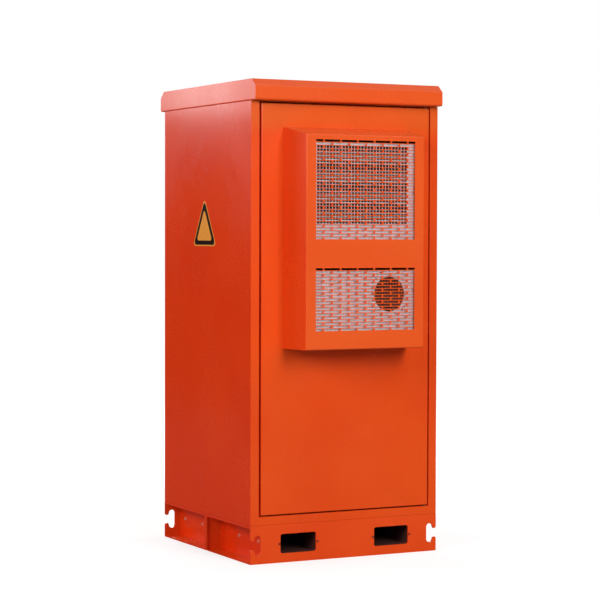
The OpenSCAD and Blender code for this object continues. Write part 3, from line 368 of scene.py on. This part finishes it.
def metal(name):
    colour, roughness, grain, crystals, metallic = metals[name]
    made = Finish(name, Metallic=metallic)
    facet = made.facets(crystals)
    fine = made.noise(grain, 2)
    smear = made.noise(*surface["smears"])
    patches = (facet - 0.5) * surface["patchy"] + (smear - 0.5) * surface["smeared"]
    made.set(made.shader, {"Base Color": metalTone(made, colour, facet, fine),
                           "Roughness": roughness + patches})
    made.bumped(fine * surface["relief"])
    return made.material


# plastics and paints: colour and roughness, and what differs from the usual grain, depth and gloss
plastics = {
    # painted shade: the fork tubes are dark red-black inside, standing in for the shade deep in the pockets
    "pocketShade": {"colour": srgb(66, 27, 20), "rough": 0.7, "grain": 500, "depth": 0.06},
    "fanPlastic": {"colour": srgb(24, 24, 25), "rough": 0.48},
    "compressorEnamel": {"colour": srgb(20, 20, 21), "rough": 0.32},
    "glandPlastic": {"colour": srgb(70, 71, 74), "rough": 0.5},
    "adapterPlastic": {"colour": srgb(26, 82, 168), "rough": 0.4},
    "cassettePlastic": {"colour": srgb(214, 214, 208), "rough": 0.42},
    "panelPaint": {"colour": srgb(186, 187, 184), "rough": 0.45, "grain": 420, "depth": 0.036},
    "handlePaint": {"colour": srgb(58, 59, 62), "rough": 0.4},
    # dark red-brown enamel of the fork tube screws, also painted shade on the hinge pins so the door gaps
    # read dark
    "screwEnamelAndGapShade": {"colour": srgb(112, 40, 24), "rough": 0.4},
    "plateBand": {"colour": srgb(30, 12, 9), "rough": 0.32, "gloss": 0.12},
}
usual = {
    "grain": 1400, "depth": 0.045, "gloss": 0.5,
    "clouds": (9, 2), "dark": 0.9, "light": 1.12, "grainy": 0.1, "cloudy": 0.08,
}


def plastic(name):
    look = usual | plastics[name]
    made = Finish(name, Specular_IOR_Level=look["gloss"])
    fine = made.noise(look["grain"], 2)
    cloud = made.noise(*look["clouds"])
    tones = [shaded(look["colour"], look[tone]) for tone in ("dark", "light")]
    uneven = (fine - 0.5) * look["grainy"] + (cloud - 0.5) * look["cloudy"]
    made.set(made.shader, {"Base Color": made.mixed(cloud, *tones), "Roughness": look["rough"] + uneven})
    made.bumped(fine * look["depth"])
    return made.material


# fins of a coil: thin bright edges with painted shade in the gaps between them; the edges wander a little
fins = {
    "finStock": (srgb(168, 170, 174), 0.75),
    # dark coated fins of the condenser coil, also painted shade for the dark inside behind the guard
    "coatedFinsShade": (srgb(44, 42, 42), 0.3),
    "pitch": 0.0032, "wander": (30, 2), "astray": 0.0006, "edge": (-0.2, 0.7), "gap": 0.16,
    "rough": 0.5, "smoother": 0.15, "relief": 0.5,
}


def finPack(name):
    colour, metallic = fins[name]
    made = Finish(name, Metallic=metallic)
    place = made.along("X") + made.noise(*fins["wander"]) * fins["astray"]
    edge = made.ramp((place * (math.tau / fins["pitch"])).sine(), *fins["edge"])
    # painted shade: the gaps between the fin edges are darkened
    made.set(made.shader, {"Base Color": made.mixed(edge, shaded(colour, fins["gap"]), colour),
                           "Roughness": fins["rough"] - edge * fins["smoother"]})
    made.bumped(edge * fins["relief"])
    return made.material


# foam rubber of the gaskets and the insulation
rubber = {
    "colour": srgb(34, 34, 35), "pores": 900, "dark": 0.6, "light": 1.4,
    "specular": 0.2, "rough": 0.86, "uneven": 0.1, "relief": 0.3,
}


def foam(name):
    made = Finish(name, Specular_IOR_Level=rubber["specular"])
    cells = made.add("ShaderNodeTexVoronoi", Vector=made.place, Scale=rubber["pores"])
    pore = made.wire(cells.outputs["Distance"])
    tones = [shaded(rubber["colour"], rubber[tone]) for tone in ("dark", "light")]
    made.set(made.shader, {"Base Color": made.mixed(pore, *tones),
                           "Roughness": rubber["rough"] + (pore - 0.5) * rubber["uneven"]})
    made.bumped(pore * rubber["relief"])
    return made.material


# the guard sheet: painted shade in a ring round each punched hole of the square field, and a darker round
# field over the fan
guard = {
    "sheet": srgb(222, 222, 226), "shade": srgb(26, 14, 12), "rim": 0.0003,
    "metallic": 0.4, "rough": 0.5, "crystals": 160, "grain": (300, 2),
    "first": (-0.1948, 1.2719), "pitch": 0.0132, "edge": 0.0052,
    "middle": (-0.01, 1.4105), "reach": (0.1914, 0.1452),
    "fan": (0.106, 1.004), "round": 0.0645, "dark": srgb(118, 68, 54),
}


def guardSheet(name):
    made = Finish(name, Metallic=guard["metallic"])
    facet = made.facets(guard["crystals"])
    fine = made.noise(*guard["grain"])
    ways = (made.along("X"), made.along("Z"))

    def within(distance, limit):
        return made.ramp(distance, limit + guard["rim"], limit - guard["rim"])

    parts = [(way - first) / guard["pitch"] + 0.5 for way, first in zip(ways, guard["first"])]
    steps = [(part.fraction() - 0.5).size() * guard["pitch"] for part in parts]
    # painted shade: a dark ring round each hole makes the holes read larger and darker
    holeShade = within(steps[0].either(steps[1]), guard["edge"])
    for way, centre, reach in zip(ways, guard["middle"], guard["reach"]):
        holeShade = holeShade * within((way - centre).size(), reach)
    across, up = [way - centre for way, centre in zip(ways, guard["fan"])]
    field = within((across * across + up * up) ** 0.5, guard["round"])
    sheet = made.mixed(holeShade, metalTone(made, guard["sheet"], facet, fine), guard["shade"])
    made.set(made.shader, {"Base Color": made.mixed(field, sheet, guard["dark"]),
                           "Roughness": guard["rough"] + (facet - 0.5) * surface["patchy"]})
    made.bumped(fine * surface["relief"])
    return made.material


# the finish of each material slot, and of the nodes that differ from their slot's
def paintNodes():
    finishes = {
        "orange_powder_coat": powderCoat("orangePowder", powder["body"], lightsTop=True),
        "plinth_powder_coat": powderCoat("plinthPowder", powder["plinth"]),
        "dark_primer": plastic("pocketShade"),
        "guard_sheet": guardSheet("guardSheet"),
        "galvanised_sheet": metal("galvanised"),
        "zinc_plate": metal("zincPlate"),
        "aluminium_fins": finPack("finStock"),
        "black_plastic": plastic("fanPlastic"),
        "black_enamel": plastic("compressorEnamel"),
        "foam_rubber": foam("foamRubber"),
        "grey_plastic": plastic("glandPlastic"),
        "blue_plastic": plastic("adapterPlastic"),
        "white_plastic": plastic("cassettePlastic"),
        "light_grey_paint": plastic("panelPaint"),
        "copper": metal("copperBar"),
        "handle_grey": plastic("handlePaint"),
    }
    # painted sheen: a paler copy of the powder coat for the cover and the roof cap
    cover = powderCoat("coverPowder", powder["cover"])
    enamelAndGapShade = plastic("screwEnamelAndGapShade")
    special = {"condenser_coil": finPack("coatedFinsShade"), "plinth_bolts": metal("boltPlate")}
    special.update((name, cover) for name in powder["covers"])
    # painted shade: the hinge pins take the dark enamel so the gaps they stand in read as shade
    special.update((name, enamelAndGapShade) for name in ("fork_tube_screws", "front_hinge_pins", "rear_hinge_pins"))
    slots = {part["node"]: part["material_slot"] for part in frame["record"]["subparts"]}
    for name, piece in nodes.items():
        piece.data.materials.clear()
        piece.data.materials.append(special.get(name) or finishes[slots[name]])
    used = {piece.data.materials[0].name for piece in nodes.values()}
    print("painted", len(nodes), "nodes with", len(used), "finishes")
    return finishes


# turns a bmesh into an object that rides on a body
def settle(name, bm, material, body):
    mesh = bpy.data.meshes.new(name)
    bmesh.ops.recalc_face_normals(bm, faces=bm.faces)
    bm.to_mesh(mesh)
    bm.free()
    mesh.materials.append(material)
    piece = bpy.data.objects.new(name, mesh)
    bpy.context.scene.collection.objects.link(piece)
    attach(piece, body)


# adds one bmesh to another at its place, and frees it
def drop(bm, target, place):
    bmesh.ops.transform(bm, matrix=place, verts=bm.verts)
    spare = bpy.data.meshes.new("spare")
    bm.to_mesh(spare)
    bm.free()
    target.from_mesh(spare)
    bpy.data.meshes.remove(spare)


# matrix that stands a piece drawn upwards from the origin on a face
def standing(place, way):
    turn = Vector((0, 0, 1)).rotation_difference(Vector(way)).to_matrix().to_4x4()
    return Matrix.Translation(place) @ turn


# pushes faces up or down and gives them walls
def pushed(bm, faces, by):
    made = bmesh.ops.extrude_face_region(bm, geom=faces)
    grown = [v for v in made["geom"] if isinstance(v, bmesh.types.BMVert)]
    bmesh.ops.translate(bm, verts=grown, vec=(0, 0, by))


# three-sided plate on the left side: amber, with a dark band inside its edge; a layer's side shrinks by
# perRim times the rim that it leaves, and each layer is thick times its own level
plate = {
    "across": 0.216, "middle": (-0.4, 0.012, 1.2427), "rim": 0.005, "band": 0.0165, "perRim": 3.4641,
    "thick": 0.0006, "levels": (1.0, 1.7, 2.2), "corner": 0.026, "steps": 8,
    "amber": srgb(236, 150, 48), "deeper": 0.9, "specular": 0.45,
    "clouds": (40, 3), "rough": 0.34, "cloudy": 0.12, "grain": (600, 1), "relief": 0.015,
}


def threeSided(across, thick):
    bm = bmesh.new()
    bmesh.ops.create_circle(bm, cap_ends=True, segments=3, radius=across / math.sqrt(3))
    bmesh.ops.bevel(bm, geom=bm.verts[:], offset=plate["corner"] * across / plate["across"],
                    affect="VERTICES", segments=plate["steps"], profile=0.5, material=-1)
    pushed(bm, bm.faces[:], thick)
    return bm


def makePlate():
    amber = Finish("amberEnamel", Specular_IOR_Level=plate["specular"])
    cloud = amber.noise(*plate["clouds"])
    tone = amber.mixed(cloud, plate["amber"], shaded(plate["amber"], plate["deeper"]))
    rough = plate["rough"] + (cloud - 0.5) * plate["cloudy"]
    amber.set(amber.shader, {"Base Color": tone, "Roughness": rough})
    amber.bumped(amber.noise(*plate["grain"]) * plate["relief"])
    dark = plastic("plateBand")
    upright = Matrix(((0, 0, -1, 0), (-1, 0, 0, 0), (0, 1, 0, 0), (0, 0, 0, 1)))  # stands it on the left side
    rims = (0, plate["rim"], plate["rim"] + plate["band"])
    layers = zip(("plateBack", "plateBand", "plateFace"), rims, plate["levels"],
                 (amber.material, dark, amber.material))
    for name, rim, height, material in layers:
        bm = threeSided(plate["across"] - rim * plate["perRim"], plate["thick"] * height)
        bmesh.ops.transform(bm, matrix=Matrix.Translation(plate["middle"]) @ upright, verts=bm.verts)
        settle(name, bm, material, "cabinet")
    print("side plate made")


# pan-head screws: height, top, rim and depth of the recess as shares of the radius
screw = {"sides": 20, "height": 0.55, "top": 0.82, "rim": 0.36, "deep": 0.28, "level": 0.9}


def screwHead(target, place, way, radius):
    bm = bmesh.new()
    tall = radius * screw["height"]
    bmesh.ops.create_cone(bm, cap_ends=True, segments=screw["sides"], radius1=radius,
                          radius2=radius * screw["top"], depth=tall)
    bm.normal_update()
    top = [f for f in bm.faces if f.normal.z > screw["level"]]
    bmesh.ops.inset_region(bm, faces=top, thickness=radius * screw["rim"])
    pushed(bm, top, -radius * screw["deep"])
    bmesh.ops.delete(bm, geom=[f for f in top if f.is_valid], context="FACES_ONLY")
    bmesh.ops.translate(bm, verts=bm.verts, vec=(0, 0, tall / 2))
    drop(bm, target, standing(place, way))


def screwSet(name, places, way, radius, zinc, body):
    bm = bmesh.new()
    for place in places:
        screwHead(bm, place, way, radius)
    settle(name, bm, zinc, body)


# small screws of the guard plates, the fan and the rack panels
fixings = {
    "guards": {"radius": 0.0042, "places": ((0.209, 1.3794), (-0.0086, 1.2424), (0.2078, 1.0167),
                                            (-0.209, 1.3794), (-0.2078, 1.0167))},
    "fan": {"radius": 0.0045, "x": 0.106, "z": 1.004, "half": 0.05665},
    "panels": {"radius": 0.0055, "x": 0.23255, "face": 0.252,
               "rows": (0.4286, 0.4842, 0.6064, 0.6619, 0.8281)},
}


def makeFixings(finishes):
    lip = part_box("guard_plate_upper")[0].y
    fan, rack = fixings["fan"], fixings["panels"]
    corners = [(s, t) for s in (-1, 1) for t in (-1, 1)]
    sets = {
        "guardScrews": ("guards", "front_door", [(x, lip, z) for x, z in fixings["guards"]["places"]]),
        "fanScrews": ("fan", "front_door",
                      [(fan["x"] + s * fan["half"], lip, fan["z"] + t * fan["half"]) for s, t in corners]),
        "panelScrews": ("panels", "cabinet",
                        [(s * rack["x"], -rack["face"], z) for s in (-1, 1) for z in rack["rows"]]),
    }
    for name, (kind, body, places) in sets.items():
        screwSet(name, places, (0, -1, 0), fixings[kind]["radius"], finishes["zinc_plate"], body)
    print("screws made")


# faces between loops of equal length, each a list of points; the last loop meets the first in a ring,
# and otherwise both ends are closed
def skinned(bm, loops, ring):
    rows = [[bm.verts.new(point) for point in loop] for loop in loops]
    pairs = list(zip(rows, rows[1:])) + ([(rows[-1], rows[0])] if ring else [])
    for low, high in pairs:
        for i in range(len(low)):
            j = (i + 1) % len(low)
            bm.faces.new((low[i], low[j], high[j], high[i]))
    if not ring:
        bm.faces.new(rows[0])
        bm.faces.new(rows[-1])


outlines = {"rays": 64, "halvings": 30}


# rounded oblong around a middle, where rays from the origin at even steps meet it
def oblong(wide, tall, corner, middle=(0, 0)):
    made = []
    for i in range(outlines["rays"]):
        turn = math.tau * i / outlines["rays"]
        ray = Vector((math.cos(turn), math.sin(turn)))
        low, high = 0, wide + tall
        for halving in range(outlines["halvings"]):
            far = (low + high) / 2
            x = max(abs(ray.x * far - middle[0]) - wide / 2 + corner, 0)
            y = max(abs(ray.y * far - middle[1]) - tall / 2 + corner, 0)
            low, high = (far, high) if math.hypot(x, y) < corner else (low, far)
        made.append((ray.x * low, ray.y * low))
    return made


def level(outline, height):
    return [(x, y, height) for x, y in outline]


# plate behind the rear handle, with a lock cylinder under it; hole, barrel and plug are radii
lock = {
    "hub": (0.305, 1.0), "wide": 0.044, "tall": 0.15, "thick": 0.003, "hole": 0.0156, "drop": 0.026,
    "round": 0.008, "soft": 0.0007,
    "barrel": 0.0095, "plug": 0.0068, "play": 0.0002, "proud": 0.0035, "below": 0.062,
    "slot": (0.0018, 0.0086), "slotRound": 2.1, "deep": 0.002,
    "screws": ((-0.015, 0.04), (0.015, 0.04), (-0.015, -0.092), (0.015, -0.092)), "screwRadius": 0.0032,
}


def makeLock(finishes):
    x, z = lock["hub"]
    hub = Vector((x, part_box("rear_leaf")[1].y, z))
    stand = standing(hub, (0, 1, 0))
    thick, soft = lock["thick"], lock["soft"]
    centre = (0, lock["drop"])
    outer = oblong(lock["wide"], lock["tall"], lock["round"], centre)
    inset = oblong(lock["wide"] - 2 * soft, lock["tall"] - 2 * soft, lock["round"] - soft, centre)
    hole = oblong(2 * lock["hole"], 2 * lock["hole"], lock["hole"])
    steps = ((outer, 0), (outer, thick - soft), (inset, thick), (hole, thick), (hole, 0))
    bm = bmesh.new()
    skinned(bm, [level(outline, height) for outline, height in steps], True)
    bmesh.ops.transform(bm, matrix=stand, verts=bm.verts)
    settle("lockPlate", bm, finishes["handle_grey"], "rear_door")

    top = thick + lock["proud"]
    outside, inside = 2 * lock["barrel"], 2 * lock["plug"]
    barrel = ((outside, thick), (outside, top - soft), (outside - 2 * soft, top),
              (inside, top), (inside - lock["play"], top - soft))
    loops = [level(oblong(wide, wide, wide / 2), height) for wide, height in barrel]
    wide, tall = lock["slot"]
    keyway = oblong(wide, tall, wide / lock["slotRound"])
    loops += [level(keyway, height) for height in (top - soft, top - lock["deep"])]
    bm = bmesh.new()
    skinned(bm, loops, False)
    bmesh.ops.transform(bm, matrix=stand @ Matrix.Translation((0, lock["below"], 0)), verts=bm.verts)
    zinc = finishes["zinc_plate"]
    settle("lockCylinder", bm, zinc, "rear_door")

    places = [hub + Vector((x, thick, z)) for x, z in lock["screws"]]
    screwSet("lockScrews", places, (0, 1, 0), lock["screwRadius"], zinc, "rear_door")
    print("rear lock made")


makeCamera()
makeLamps()
makeRoom()
makeFloor()
finishes = paintNodes()
makePlate()
makeFixings(finishes)
makeLock(finishes)

bpy.context.scene.view_settings.view_transform = "Standard"
